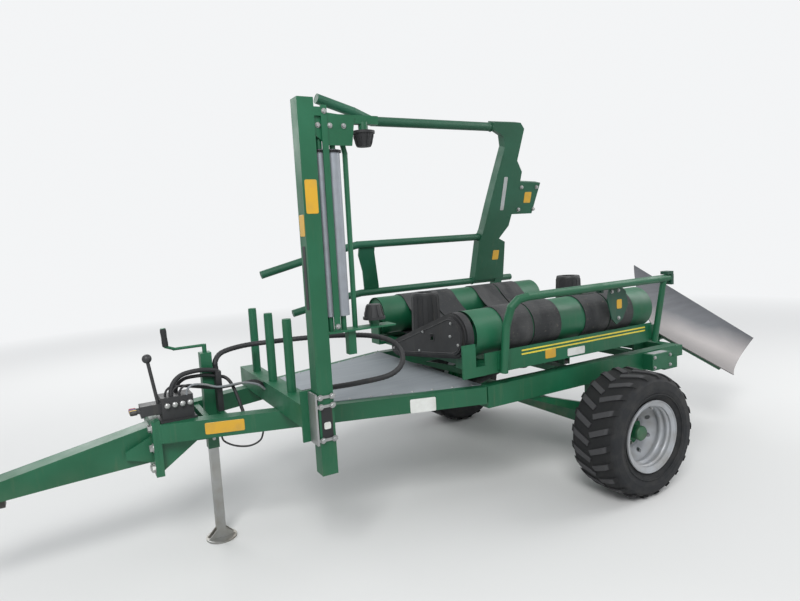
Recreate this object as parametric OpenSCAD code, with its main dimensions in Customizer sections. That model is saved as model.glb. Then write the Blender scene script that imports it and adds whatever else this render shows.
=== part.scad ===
// Trailed round bale wrapper with a belt turntable, a side loading arm and a film mast.
// Millimetres, +X forward, +Y to the machine's left, +Z up, floor at z = 0.

/* [Wheels] */
// outside diameter of the tyres over the lugs
tyre_d = 770; // [730:10:800]
// width of a tyre
tyre_w = 335; // [300:5:345]
// distance between the two wheel centres
track = 1912; // [1890:2:1960]
// outside diameter of the rim lip
rim_lip_d = 446; // [420:2:460]
// number of lugs round one shoulder of a tyre
lug_count = 22; // [16:1:26]

/* [Chassis] */
// height of the top of the main rails
rail_top = 773; // [765:1:775]
// height of the main rail section
rail_h = 130; // [110:2:140]
// width of the main rail section
rail_w = 80; // [60:2:90]
// height of the A-frame leg section
leg_h = 100; // [80:2:110]
// distance from the axle forward to the flange plate
flange_x = 2640; // [2600:5:2680]

/* [Drawbar] */
// distance from the axle forward to the centre of the tow eye
tow_x = 3700; // [3660:5:3760]
// height of the tow eye's lower face
tow_z = 476; // [470:1:480]
// bore of the tow eye
eye_bore = 50; // [40:1:56]
// outside diameter of the tow eye ring
eye_d = 110; // [100:2:120]

/* [Jack] */
// outside size of the square jack tube
jack_w = 60; // [56:1:66]
// length of the jack tube
jack_len = 545; // [520:5:560]

/* [Film mast] */
// size of the square mast
mast_w = 80; // [70:1:84]
// height of the mast top
mast_top = 2321; // [2290:1:2400]
// length of the two film rollers
film_len = 786; // [700:2:800]
// diameter of the large film roller
film_d = 65; // [55:1:72]
// diameter of the three reel posts
post_d = 48; // [40:1:60]
// height of the reel posts above their beam
post_h = 385; // [300:5:420]

/* [Turntable] */
// diameter of the table rollers
roller_d = 276; // [264:2:278]
// length of the table rollers
roller_len = 1510; // [1480:10:1520]
// width of one belt
belt_w = 218; // [190:2:222]
// thickness of the belts
belt_t = 6; // [4:0.5:7]
// diameter of the flat top of the end cones
cone_top_d = 170; // [140:2:190]
// diameter of the cones at the foot
cone_foot_d = 200; // [180:2:208]
// diameter of the guard tube
guard_d = 48; // [40:1:50]

/* [Loading arm] */
// diameter of the outer lifting tube
outer_d = 72; // [60:2:80]
// diameter of the inner lifting tube
inner_d = 60; // [50:2:70]
// diameter of the tube beside the hinge
low_d = 58; // [48:2:60]

/* [Chute] */
// thickness of the deck sheet on the A-frame
deck_t = 4; // [3:0.5:6]
// thickness of the bale chute sheet
chute_t = 5; // [4:0.5:8]

/* [Hidden] */
$fn = 96;

// the part's origin lies under the middle of its box, this far from the axle
ox = -882.3;
oy = 28.2;
c_green = [0.08, 0.41, 0.24];
c_dark = [0.05, 0.20, 0.14];
c_black = [0.10, 0.10, 0.11];
c_rubber = [0.13, 0.13, 0.14];
c_steel = [0.62, 0.64, 0.66];
c_rim = [0.70, 0.71, 0.72];
c_alu = [0.78, 0.79, 0.81];

axle_z = tyre_d / 2;
rail_y = 649;
rail_bot = rail_top - rail_h;
rail_front = 905;
rail_rear = -800;
leg_y1 = 654;
leg_y2 = 126;
leg_w = 80;
leg_bot = rail_top - leg_h;
leg_a = atan2(leg_y1 - leg_y2, flange_x - rail_front);
jack_x = 2333;
jack_top = 1086;
beam_x = 1995;
beam_top = 889;
mast_x = 1950;
mast_y = 745;
mast_bot = 543;
film_z = 1306;
roll_x = 1813;
small_x = 1880;
reel_x = 1645;
plate_z = 1236;
arm_z = 2235;
table_x = 213;
roller_y = 550;
roller_z = 1071;
roller_r = roller_d / 2;
belt_gap = 1;
belt_in = roller_r + belt_gap;
sag_low = 86;
sag_r = (roller_y * roller_y + sag_low * sag_low - belt_in * belt_in) / (2 * (belt_in + sag_low));
sag_z = sag_r - sag_low;
cone_x = roller_len / 2 - 95;
cone_top = 1276;
cone_bot = 986;
hinge_x = -756;
hinge_z = 806;
load_y = -900;
load_z = 600;
lean = 15;
plane_y = -367;
load_x = -640;

// bars, tubes and plates used by several pieces
module box(x, y, z) {
  translate([x[0], y[0], z[0]]) cube([x[1] - x[0], y[1] - y[0], z[1] - z[0]]);
}
module rod(p, q, r) {
  d = q - p;
  n = norm(d);
  translate(p) rotate([0, acos(d[2] / n), atan2(d[1], d[0])]) cylinder(h = n, r = r);
}
module cyl_x(p, n, r) {
  translate(p) rotate([0, 90, 0]) cylinder(h = n, r = r);
}
module cyl_y(p, n, r) {
  translate(p) rotate([-90, 0, 0]) cylinder(h = n, r = r);
}
module plate_x(x, t) {
  translate([x, 0, 0]) rotate([90, 0, 90]) linear_extrude(t) children();
}
module plate_y(y, t) {
  translate([0, y + t, 0]) rotate([90, 0, 0]) linear_extrude(t) children();
}
module plate_z(z, t) {
  translate([0, 0, z]) linear_extrude(t) children();
}
// round tube through a short row of points, with ball corners
module bent(pts, r) {
  for (i = [0 : len(pts) - 2]) {
    rod(pts[i], pts[i + 1], r);
  }
  for (i = [1 : len(pts) - 2]) {
    translate(pts[i]) sphere(r = r + 0.6);
  }
}
// two discs joined by straight sides that lie a hair inside their outer tangents
module drop(p, r1, q, r2) {
  d = q - p;
  n = norm(d);
  a = atan2(d[1], d[0]);
  b = acos((r1 - r2) / n);
  e = 0.15;
  translate(p) circle(r = r1);
  translate(q) circle(r = r2);
  polygon([p + (r1 - e) * [cos(a + b), sin(a + b)], p + (r1 - e) * [cos(a - b), sin(a - b)],
    q + (r2 - e) * [cos(a - b), sin(a - b)], q + (r2 - e) * [cos(a + b), sin(a + b)]]);
}
// things fixed in the loading arm's upright frame, brought to the raised pose
module raised() {
  translate([0, load_y, load_z]) rotate([-lean, 0, 0]) children();
}

/* drawbar */
module drawbar() {
  color(c_green) {
    plate_y(-62, 124) polygon([[flange_x + 20, 745], [flange_x + 20, 551], [3100, 532],
      [3560, 508], [3560, 574]]);
    box([flange_x, flange_x + 20], [-168, 168], [498, 790]);
    for (s = [-1, 1]) {
      plate_y(s * 90 - 6, 12) polygon([[flange_x + 20, 700], [flange_x + 20, 560],
        [flange_x + 150, 600], [flange_x + 150, 640]]);
    }
  }
}
module tow_eye() {
  color(c_black) difference() {
    union() {
      box([3330, tow_x - 30], [-30, 30], [tow_z, tow_z + 30]);
      translate([tow_x, 0, tow_z]) cylinder(h = 30, d = eye_d);
      box([3330, 3350], [-30, 30], [tow_z, tow_z + 43]);
      box([3520, 3540], [-30, 30], [tow_z, tow_z + 32.8]);
    }
    translate([tow_x, 0, tow_z - 1]) cylinder(h = 32, d = eye_bore);
    plate_y(-62, 124) polygon([[flange_x + 20, 745], [flange_x + 20, 551], [3100, 532],
      [3560, 508], [3560, 574]]);
  }
}

/* A-frame */
module leg(s) {
  n = (flange_x - 20 - rail_front) / cos(leg_a);
  translate([rail_front, s * leg_y1, leg_bot]) rotate([0, 0, -s * leg_a])
    translate([0, -leg_w / 2, 0]) cube([n, leg_w, leg_h]);
}
module a_frame() {
  color(c_green) {
    difference() {
      union() {
        leg(1);
        leg(-1);
        box([flange_x - 20, flange_x], [-170, 170], [498, 793]);
        plate_z(leg_bot - 10, 10) polygon([[flange_x - 20, 160], [flange_x - 20, -160],
          [2380, -225], [2380, 225]]);
      }
      box([rail_front - 200, rail_front], [-900, 900], [400, 900]);
      box([flange_x, flange_x + 200], [-900, 900], [400, 900]);
      box([jack_x - jack_w / 2 - 1, jack_x + jack_w / 2 + 1], [-jack_w / 2 - 1, jack_w / 2 + 1],
        [400, 900]);
    }
    for (s = [-1, 1]) {
      plate_y(s * 120 - 6, 12) polygon([[flange_x - 20, leg_bot - 10], [flange_x - 20, 510],
        [2400, leg_bot - 10]]);
    }
    // cross plates that carry the jack tube between the two legs
    box([jack_x - 60, jack_x - jack_w / 2], [-200, 200], [690, 760]);
    box([jack_x + jack_w / 2, jack_x + 60], [-175, 175], [690, 760]);
    // sill behind the jack
    box([1230, 1290], [-508, 508], [leg_bot, leg_bot + 60]);
  }
}

/* chassis */
module chassis_rails() {
  color(c_green) {
    for (s = [-1, 1]) {
      box([rail_rear, rail_front], [s * rail_y - rail_w / 2, s * rail_y + rail_w / 2],
        [rail_bot, rail_top]);
      // ears on the rear ends that hold the tip frame's pins
      plate_y(s * 400 - 10, 20) polygon([[rail_rear, 690], [rail_rear, 800], [-780, 836],
        [-732, 836], [-700, 760], [-700, 690]]);
      cyl_y([hinge_x, s > 0 ? 294 : -416, hinge_z], 122, 15);
    }
    box([-780, -700], [-rail_y + rail_w / 2, rail_y - rail_w / 2], [rail_bot, 690]);
    box([-60, 20], [-rail_y + rail_w / 2, rail_y - rail_w / 2], [rail_bot, rail_bot + 45]);
    box([825, 905], [-rail_y + rail_w / 2, rail_y - rail_w / 2], [rail_bot, rail_bot + 80]);
    // lugs under the front cross member for the tip cylinder
    for (s = [-1, 1]) {
      plate_y(s * 38 - 6, 12) polygon([[640, 520], [700, 520], [905, rail_bot], [825, rail_bot]]);
    }
    cyl_y([680, -50, 545], 100, 12);
  }
}
module axle() {
  y = track / 2 - 130;
  color(c_green) {
    box([-40, 40], [-y, y], [axle_z - 40, axle_z + 40]);
    for (s = [-1, 1]) {
      box([-45, 45], [s * rail_y - 35, s * rail_y + 35], [axle_z + 40, rail_bot]);
      plate_y(s * rail_y - 25, 50) polygon([[45, axle_z + 45], [45, axle_z + 115],
        [520, rail_bot], [600, rail_bot]]);
      box([-120, -45], [s * rail_y - 30, s * rail_y + 30], [rail_bot - 90, rail_bot]);
    }
  }
  color(c_steel) for (s = [-1, 1]) {
    cyl_y([0, s > 0 ? y : -y - 92, axle_z], 92, 29.95);
  }
}

/* wheels */
module tyre(s) {
  r = tyre_d / 2;
  w = tyre_w / 2;
  lip = rim_lip_d / 2;
  bead = lip - 22;
  translate([0, s * track / 2, axle_z]) rotate([90, 0, 0]) {
    color(c_rubber) {
      // the carcass outside, then its inner face back from one bead to the other
      rotate_extrude() polygon([[bead, -w + 70], [bead + 8, -w + 40], [lip + 12, -w + 28],
        [lip + 50, -w + 4], [r - 88, -w], [r - 46, -w + 6], [r - 22, -w + 26], [r - 13, -w + 60],
        [r - 10, 0], [r - 13, w - 60], [r - 22, w - 26], [r - 46, w - 6], [r - 88, w],
        [lip + 50, w - 4], [lip + 12, w - 28], [bead + 8, w - 40], [bead, w - 70],
        [bead + 16, w - 76], [lip + 44, w - 24], [r - 88, w - 18], [r - 56, w - 24],
        [r - 38, w - 64], [r - 34, 0], [r - 38, -w + 64], [r - 56, -w + 24], [r - 88, -w + 18],
        [lip + 44, -w + 24], [bead + 16, -w + 76]]);
      intersection() {
        for (i = [0 : lug_count - 1]) {
          rotate(i * 360 / lug_count) translate([r - 30, 0, 4]) rotate([-24, 0, 0])
            translate([0, -16, 0]) cube([40, 32, w + 10]);
          rotate((i + 0.5) * 360 / lug_count) translate([r - 30, 0, -4]) rotate([24, 0, 0])
            translate([0, -16, -w - 10]) cube([40, 32, w + 10]);
        }
        rotate_extrude() polygon([[r - 40, -w], [r - 14, -w + 22], [r, -w + 60], [r, w - 60],
          [r - 14, w - 22], [r - 40, w]]);
      }
    }
  }
}
module rim(s) {
  w = tyre_w / 2;
  lip = rim_lip_d / 2;
  bead = lip - 22.3;
  translate([0, s * track / 2, axle_z]) rotate([s > 0 ? -90 : 90, 0, 0]) {
    color(c_rim) difference() {
      union() {
        rotate_extrude() polygon([[bead - 12, -w + 30], [lip, -w + 20], [lip, -w + 26],
          [bead, -w + 39], [bead, w - 39], [lip, w - 26], [lip, w - 20], [bead - 12, w - 30],
          [bead - 12, 30], [bead - 40, 10], [120, -20], [58, -26], [58, -38], [124, -32],
          [bead - 32, -2], [bead - 12, 16]]);
      }
      for (i = [0 : 7]) {
        rotate(i * 45 + 22.5) translate([150, 0, -60]) cylinder(h = 100, r = 14);
      }
    }
    color(c_green) {
      difference() {
        union() {
          translate([0, 0, -90]) cylinder(h = 110, r = 56);
          translate([0, 0, 20]) cylinder(h = 40, r = 44);
          translate([0, 0, -50]) cylinder(h = 27, r = 100);
          for (i = [0 : 7]) {
            rotate(i * 45) translate([82, 0, -50]) cylinder(h = 42, r = 9);
          }
        }
        translate([0, 0, -91]) cylinder(h = 60 + 1, r = 30);
      }
    }
  }
}

/* jack */
module jack_tube() {
  h = jack_w / 2;
  b = jack_top - jack_len;
  color(c_green) {
    difference() {
      box([jack_x - h, jack_x + h], [-h, h], [b, jack_top]);
      box([jack_x - h + 5, jack_x + h - 5], [-h + 5, h - 5], [b - 1, jack_top - 8]);
    }
  }
  color(c_steel) {
    translate([jack_x, 0, jack_top]) cylinder(h = 46, r = 12);
    rod([jack_x, 0, jack_top + 40], [jack_x + 165, 0, jack_top + 40], 8);
    rod([jack_x + 155, 0, jack_top + 40], [jack_x + 205, 0, jack_top + 60], 8);
  }
  color(c_black) rod([jack_x + 200, 0, jack_top + 58], [jack_x + 205, 0, jack_top + 160], 13);
}
module jack_leg() {
  h = jack_w / 2 - 5.5;
  color(c_steel) {
    box([jack_x - h, jack_x + h], [-h, h], [10, 690]);
    translate([jack_x, 0, 0]) cylinder(h = 10, r = 85);
    for (s = [-1, 1]) {
      plate_y(s * 20 - 4, 8) polygon([[jack_x + h, 10], [jack_x + 75, 10], [jack_x + h, 60]]);
      plate_y(s * 20 - 4, 8) polygon([[jack_x - h, 10], [jack_x - 75, 10], [jack_x - h, 60]]);
    }
  }
}

/* reel rack and film mast */
module rack_beam() {
  color(c_green) {
    difference() {
      box([beam_x - 50, beam_x + 50], [-390, mast_y - 44], [rail_top, beam_top]);
      box([beam_x - 44, beam_x + 44], [-384, mast_y - 50], [rail_top + 6, beam_top - 6]);
    }
    box([beam_x - 80, beam_x + 50], [mast_y - 56, mast_y - 44], [700, 955]);
  }
}
module reel_posts() {
  for (y = [-190, 120, 431]) {
    color(c_green) difference() {
      translate([beam_x, y, beam_top]) cylinder(h = post_h - 8, d = post_d);
      translate([beam_x, y, beam_top + 8]) cylinder(h = post_h, d = post_d - 8);
    }
    color(c_black) translate([beam_x, y, beam_top + post_h - 8]) cylinder(h = 10, d = post_d - 2);
  }
}
module mast_clamp() {
  w = mast_w / 2 + 0.5;
  color(c_steel) {
    for (z = [715, 880, 925]) {
      difference() {
        box([mast_x - w - 7, mast_x + w + 7], [mast_y - 43.9, mast_y + w + 7], [z, z + 14]);
        box([mast_x - w, mast_x + w], [mast_y - w, mast_y + w], [z - 1, z + 15]);
      }
    }
  }
  color(c_green) {
    box([mast_x + w + 7, mast_x + w + 17], [mast_y - 43.9, mast_y + w + 7], [700, 950]);
  }
}
module mast() {
  w = mast_w / 2;
  color(c_green) difference() {
    box([mast_x - w, mast_x + w], [mast_y - w, mast_y + w], [mast_bot, mast_top]);
    box([mast_x - w + 6, mast_x + w - 6], [mast_y - w + 6, mast_y + w - 6],
      [mast_bot - 1, mast_top - 8]);
  }
}
module film_frame() {
  y = mast_y;
  f = mast_x - mast_w / 2;
  t = film_z + film_len;
  color(c_dark) {
    // top arm, flat bar and foot plate
    box([1570, f], [y - 18, y + 18], [arm_z - 20, arm_z + 20]);
    plate_y(y + 18, 8) polygon([[f, arm_z + 30], [1700, arm_z + 10],
      [1720, arm_z - 125], [1850, arm_z - 125], [f, arm_z - 75]]);
  }
  color(c_green) {
    box([1846, 1876], [y + 30, y + 38], [plate_z, arm_z + 55]);
    box([1846, f], [y + 26, y + 38], [arm_z + 5, arm_z + 45]);
    difference() {
      box([1546, f], [y - 45, y + 45], [plate_z - 8, plate_z]);
      translate([reel_x, y, plate_z - 20]) cylinder(h = 30, r = 10.05);
    }
    box([1760, 1800], [y - 20, y + 20], [1110, plate_z - 8]);
    bent([[1738, y - 30, plate_z], [1736, y - 30, arm_z - 155], [1752, y - 30, arm_z - 85],
      [1790, y - 30, arm_z - 25]], 13);
    box([1770, 1800], [y - 43, y - 18], [arm_z - 35, arm_z - 10]);
    translate([reel_x, y, plate_z]) cylinder(h = 30, r = 24);
    translate([reel_x, y, arm_z - 50]) cylinder(h = 40, r = 24);
  }
  color(c_steel) {
    // pins that the film rollers and the reel cones run on
    for (p = [[roll_x, 0], [small_x, 1]]) {
      translate([p[0], y, plate_z]) cylinder(h = film_z - plate_z - 3, r = 14);
      translate([p[0], y, plate_z]) cylinder(h = film_z - plate_z + 30, r = 9.95);
      translate([p[0], y, t - 30]) cylinder(h = arm_z - 20 - t + 30, r = 9.95);
      translate([p[0], y, t + 3]) cylinder(h = arm_z - 20 - t - 3, r = 14);
    }
    translate([reel_x, y, plate_z + 30]) cylinder(h = 60, r = 9.95);
    translate([reel_x, y, arm_z - 100]) cylinder(h = 50, r = 9.95);
  }
}
module film_roller(x, r) {
  difference() {
    translate([x, mast_y, film_z]) cylinder(h = film_len, r = r);
    translate([x, mast_y, film_z - 1]) cylinder(h = 41, r = 10);
    translate([x, mast_y, film_z + film_len - 40]) cylinder(h = 41, r = 10);
  }
}
module film_roller_large() {
  color(c_alu) film_roller(roll_x, film_d / 2);
}
module film_roller_small() {
  color(c_alu) film_roller(small_x, film_d / 2 - 10.5);
}
module reel_cone_low() {
  color(c_black) difference() {
    union() {
      translate([reel_x, mast_y, plate_z + 31]) cylinder(h = 12, r = 56);
      translate([reel_x, mast_y, plate_z + 43]) cylinder(h = 62, r1 = 50, r2 = 34);
    }
    translate([reel_x, mast_y, plate_z + 30]) cylinder(h = 70, r = 10);
  }
}
module reel_cone_top() {
  color(c_black) difference() {
    union() {
      translate([reel_x, mast_y, arm_z - 63]) cylinder(h = 12, r = 56);
      translate([reel_x, mast_y, arm_z - 125]) cylinder(h = 62, r1 = 34, r2 = 50);
    }
    translate([reel_x, mast_y, arm_z - 105]) cylinder(h = 60, r = 10);
  }
}
module valve_block() {
  color(c_black) {
    box([2440, 2600], [20, 140], [rail_top + 10, 900]);
    box([2600, 2700], [40, 120], [815, 870]);
    for (i = [0 : 3]) {
      cyl_x([2700, 50 + i * 20, 842], 46, 8);
    }
    rod([2610, 100, 860], [2640, 100, 1090], 9);
    translate([2643, 100, 1112]) sphere(r = 24);
  }
  color(c_green) {
    box([2430, 2615], [10, 160], [rail_top, rail_top + 10]);
    box([2273, 2303], [-60, 90], [760, 985]);
  }
}

/* tipping frame and turntable */
module tip_frame() {
  color(c_green) {
    for (s = [-1, 1]) {
      difference() {
        union() {
          box([hinge_x, 720], [s * 330 - 30, s * 330 + 30], [782, 832]);
          cyl_y([hinge_x, s > 0 ? 300 : -384, hinge_z], 84, 26);
        }
        cyl_y([hinge_x, s > 0 ? 290 : -390, hinge_z], 100, 15.05);
      }
    }
    for (x = [-640, 60, 316, 660]) {
      box([x, x + 60], [-300, 300], [782, 832]);
    }
    difference() {
      translate([table_x, 0, 832]) cylinder(h = 14, r = 280);
      translate([table_x, 0, 830]) cylinder(h = 20, r = 60.05);
    }
    for (s = [-1, 1]) {
      difference() {
        plate_y(s * 34 - 6, 12) polygon([[60, 832], [90, 782], [-60, 720], [-140, 735],
          [-140, 832]]);
        cyl_y([-100, s * 34 - 10, 752], 20, 12.5);
      }
    }
    box([-140, 60], [-40, 40], [816, 832]);
  }
}
module slew_ring() {
  color(c_steel) difference() {
    translate([table_x, 0, 846]) cylinder(h = 14, r = 240);
    translate([table_x, 0, 840]) cylinder(h = 30, r = 150);
  }
}
module table_frame() {
  e0 = roller_len / 2;
  color(c_green) {
    translate([table_x, 0, 780]) cylinder(h = 84, r = 60);
    translate([table_x, 0, 860.5]) cylinder(h = 10, r = 250);
    // spine and cross beams under the belts
    box([table_x - e0 + 15, table_x + e0 + 5], [-90, 90], [864, 914]);
    for (x = [35 - e0, -30, e0 - 95]) {
      box([table_x + x, table_x + x + 60], [-700, 700], [864, 914]);
    }
    for (s = [-1, 1]) {
      // side panels below the rollers
      box([table_x - e0 + 35, table_x + e0 - 35], [s > 0 ? 700 : -708, s > 0 ? 708 : -700],
        [849, 975]);
      box([table_x - e0 + 35, table_x + e0 - 35], [s > 0 ? 676 : -700, s > 0 ? 700 : -676],
        [849, 864]);
      // end plates that carry the roller pins
      for (e = [-1, 1]) {
        x = table_x + e * (roller_len / 2 + 12) - 6;
        box([x, x + 12], [s * roller_y - 60, s * roller_y + 60], [864, 1040]);
        cyl_x([x, s * roller_y, roller_z], 12, 60);
        box([min(x, table_x + e * (e0 - 65)), max(x + 12, table_x + e * (e0 - 65))],
          [s * roller_y - 60, s * roller_y + 60], [864, 880]);
      }
    }
    for (e = [-1, 1]) {
      translate([table_x + e * cone_x, 0, 914]) cylinder(h = cone_bot - 916, r = 40);
    }
    // foot that steadies the narrow end of the chain guard
    box([table_x + e0 - 55, table_x + e0 + 18], [-156, -104], [864, 876]);
    box([table_x + e0 + 8, table_x + e0 + 18], [-156, -104], [876, 950]);
    // corner plate beside the chain guard, on an arm from the left side panel
    box([table_x + e0 - 40, table_x + e0 + 122], [700, 712], [849, 905]);
    box([table_x + e0 + 32, table_x + e0 + 122], [700, 712], [905, 1040]);
  }
  color(c_steel) {
    for (s = [-1, 1]) {
      for (e = [-1, 1]) {
        x = table_x + e * (roller_len / 2 + 12);
        cyl_x([min(x, x - e * 60), s * roller_y, roller_z], 60, 14.95);
      }
    }
    for (e = [-1, 1]) {
      translate([table_x + e * cone_x, 0, 914]) cylinder(h = 280, r = 14.95);
    }
  }
}
module roller(s) {
  n = roller_len;
  color(c_green) difference() {
    translate([table_x, s * roller_y, roller_z]) rotate([0, 90, 0]) {
      rotate_extrude() polygon([[roller_r - 7, -n / 2], [roller_r, -n / 2], [roller_r, n / 2],
        [roller_r - 7, n / 2]]);
      for (e = [-1, 1]) {
        translate([0, 0, e * (n / 2 - 40) - 40]) cylinder(h = 80, r = 34);
        translate([0, 0, e * (n / 2 - 20) - 6]) cylinder(h = 12, r = roller_r - 3);
      }
    }
    for (e = [-1, 1]) {
      cyl_x([table_x + e * n / 2 - 90, s * roller_y, roller_z], 180, 15);
      for (i = [0 : 3]) {
        translate([table_x + e * (n / 2 - 20) - 10, s * roller_y, roller_z])
          rotate([i * 90 + 45, 0, 0]) translate([0, 82, 0]) rotate([0, 90, 0])
            cylinder(h = 20, r = 26);
      }
    }
  }
}
// outline of a belt loop, o outside its inner face: two rollers and the sagging top run
function arc(c, r, a0, a1, n) = [for (i = [0 : n]) let(a = a0 + (a1 - a0) * i / n)
  c + r * [cos(a), sin(a)]];
module belt_shape(o) {
  r = belt_in + o;
  b = atan2(sag_z, roller_y);
  polygon(concat(arc([roller_y, 0], r, 180 - b, -90, 24), arc([-roller_y, 0], r, 270, b, 24),
    arc([0, sag_z], sag_r - o, 180 + b + 5, 360 - b - 5, 14)));
}
module belt(x) {
  color(c_rubber) translate([x - belt_w / 2, 0, roller_z]) rotate([90, 0, 90])
    linear_extrude(belt_w) difference() {
      belt_shape(belt_t);
      belt_shape(0);
    }
}
module belts_front() {
  belt(table_x + 216);
  belt(table_x + 446);
}
module belts_rear() {
  belt(table_x - 216);
  belt(table_x - 446);
}
module cone(e) {
  h = cone_top - cone_bot;
  color(c_black) translate([table_x + e * cone_x, 0, cone_bot]) difference() {
    union() {
      cylinder(h = h - 12, r1 = cone_foot_d / 2, r2 = cone_top_d / 2 + 4);
      translate([0, 0, h - 12]) cylinder(h = 12, r1 = cone_top_d / 2 + 4, r2 = cone_top_d / 2);
    }
    translate([0, 0, -1]) cylinder(h = 221, r = 15);
    translate([0, 0, h - 16]) cylinder(h = 20, r = cone_top_d / 2 - 34);
  }
}
module chain_guard() {
  x = table_x + roller_len / 2 + 18;
  p = [roller_y, roller_z];
  q = [-130, 905];
  w = 4;
  color(c_black) {
    difference() {
      union() {
        // moulded cover in three steps, the narrowest in front
        plate_x(x, 45) drop(p, 135, q, 58);
        plate_x(x + 45, 13) drop(p, 126, q, 49);
        plate_x(x + 58, 14) drop(p, 112, q, 35);
      }
      plate_x(x - 1, 42) drop(p, 135 - w, q, 58 - w);
      plate_x(x + 41, 13) drop(p, 126 - w, q, 49 - w);
      plate_x(x + 54, 14) drop(p, 112 - w, q, 35 - w);
      // hand hole
      box([x + 50, x + 80], [335, 375], [1020, 1062]);
    }
    cyl_x([x, p[0], p[1]], 70, 40);
    cyl_x([x, q[0], q[1]], 70, 24);
  }
}
module table_motor() {
  color(c_black) {
    translate([table_x, 190, 752]) cylinder(h = 80, r = 52);
    translate([table_x, 190, 690]) cylinder(h = 62, r = 40);
  }
}
module guard_rail() {
  r = guard_d / 2;
  color(c_green) {
    bent([[818, 733, 849], [808, 752, 1120], [790, 780, 1232], [752, 798, 1274],
      [690, 805, 1285], [-555, 805, 1285]], r);
    rod([-507, 733, 849], [-507, 806, 1283], 20);
    box([790, 846], [708, 718], [866, 962]);
    box([-535, -479], [708, 718], [866, 962]);
  }
}
module film_cutter() {
  color(c_green) {
    // cylinder along the rail, its bracket and the leaf shaped cutter arm
    cyl_x([60, 758, 1262], 240, 14);
    cyl_x([-110, 758, 1262], 170, 8);
    box([40, 60], [744, 780.6], [1240, 1284]);
    plate_y(750, 8) polygon([[-40, 1270], [-20, 1190], [-60, 1060], [-100, 1019], [-160, 1050],
      [-212, 1140], [-190, 1230], [-140, 1270]]);
    box([-580, -520], [770, 826], [1309, 1330]);
  }
  color(c_dark) box([-580, -556], [770, 828], [1240, 1309]);
}

/* loading arm, drawn in its upright frame where z is the reach from the hinge */
module loader_lugs() {
  color(c_green) {
    for (x = [load_x - 61, load_x + 45]) {
      plate_x(x, 16) polygon([[-rail_y - rail_w / 2, 643], [-rail_y - rail_w / 2, 773],
        [-760, 760], [-900, 646], [-940, 620], [-940, 575], [-900, 556], [-760, 570]]);
    }
    cyl_x([load_x - 66, load_y, load_z], 132, 20);
    // bracket that carries the foot of the lifting cylinder
    box([load_x - 42, load_x + 42], [-rail_y + rail_w / 2, -220], [rail_bot, 690]);
    for (s = [-1, 1]) {
      plate_x(load_x + s * 30 - 5, 10) polygon([[-290, 643], [-220, 643], [-225, 500],
        [-285, 500]]);
    }
    cyl_x([load_x - 35, -250, 520], 70, 12);
  }
}
module loader_arm() {
  color(c_green) {
    raised() {
      difference() {
        union() {
          // rear leg and the tall box arm in the fork plane
          plate_y(plane_y - 40, 80) polygon([[-350, 526], [-350, 890], [-384, 999],
            [-414, 1217], [-457, 1491], [-500, 1740], [-470, 1830], [-345, 1885], [-345, 1945],
            [-640, 1949], [-690, 1900], [-662, 1624], [-735, 1526], [-731, 1421], [-668, 1031],
            [-575, 916], [-650, 880], [-690, 526]]);
          plate_y(plane_y - 36, 72) polygon([[-720, 1436], [-980, 1425], [-930, 1138],
            [-690, 1138]]);
          plate_y(plane_y - 8, 16) polygon([[640, 524], [640, 560], [706, 862], [706, 915],
            [848, 915], [848, 840], [800, 700], [770, 524]]);
          // swing arm from the hinge out to the fork plane
          plate_x(load_x - 40, 80) polygon([[-30, -30], [30, -30], [36, 40], [-330, 470],
            [-330, 560], [-400, 560], [-400, 440], [-60, 40], [-46, 0]]);
          cyl_x([load_x - 40, 0, 0], 80, 45);
          // lever that the lifting cylinder pushes
          for (s = [-1, 1]) {
            plate_x(load_x + s * 26 - 7, 14) polygon([[-30, -20], [30, -20], [30, -180],
              [0, -215], [-40, -215], [-62, -180]]);
          }
        }
        cyl_x([-420.3, plane_y, 1900], 200, outer_d / 2 + 0.3);
        cyl_x([-400.3, plane_y, 932], 1260, inner_d / 2 + 0.3);
        cyl_x([-812, plane_y, 512], 1612, low_d / 2 + 0.3);
        cyl_x([load_x - 50, 0, 0], 100, 20.05);
        cyl_x([load_x - 50, -11, -189], 100, 12.5);
        cyl_x([load_x - 19, -11, -189], 38, 60);
      }
    }
  }
}
module fork_outer() {
  color(c_green) raised()
    bent([[-420, plane_y, 1900], [798, plane_y, 1900], [960, plane_y, 1960],
      [1258, plane_y, 2040]], outer_d / 2);
}
module fork_inner() {
  color(c_green) raised()
    bent([[-400, plane_y, 932], [860, plane_y, 932], [1130, plane_y, 880],
      [1661, plane_y, 745]], inner_d / 2);
}
module fork_low() {
  color(c_green) raised()
    bent([[-809, plane_y, 512], [800, plane_y, 512], [960, plane_y, 490],
      [1400, plane_y, 400]], low_d / 2);
}
module barrel_x(p, q, n, r) {
  // hollow barrel on a cross pin at p, pointing at q, n long
  u = (q - p) / norm(q - p);
  difference() {
    union() {
      rod(p + 50 * u, p + n * u, r);
      rod(p, p + 56 * u, 14);
      children();
    }
    rod(p + 60 * u, p + (n + 1) * u, r - 8);
  }
}
module loader_barrel() {
  p = [load_x, -250, 520];
  q = [load_x, -960, 420];
  color(c_black) difference() {
    barrel_x(p, q, 385, 30) cyl_x([load_x - 20, -250, 520], 40, 24);
    cyl_x([load_x - 30, -250, 520], 60, 12.05);
  }
}
module loader_rod() {
  p = [load_x, -250, 520];
  q = [load_x, -960, 420];
  n = norm(q - p);
  u = (q - p) / n;
  color(c_steel) {
    rod(p + 345 * u, p + (n - 20) * u, 15);
    rod(p + 345 * u, p + 375 * u, 21.5);
    difference() {
      cyl_x([load_x - 12, -960, 420], 24, 26);
      cyl_x([load_x - 20, -960, 420], 40, 12.5);
    }
  }
}
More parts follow.
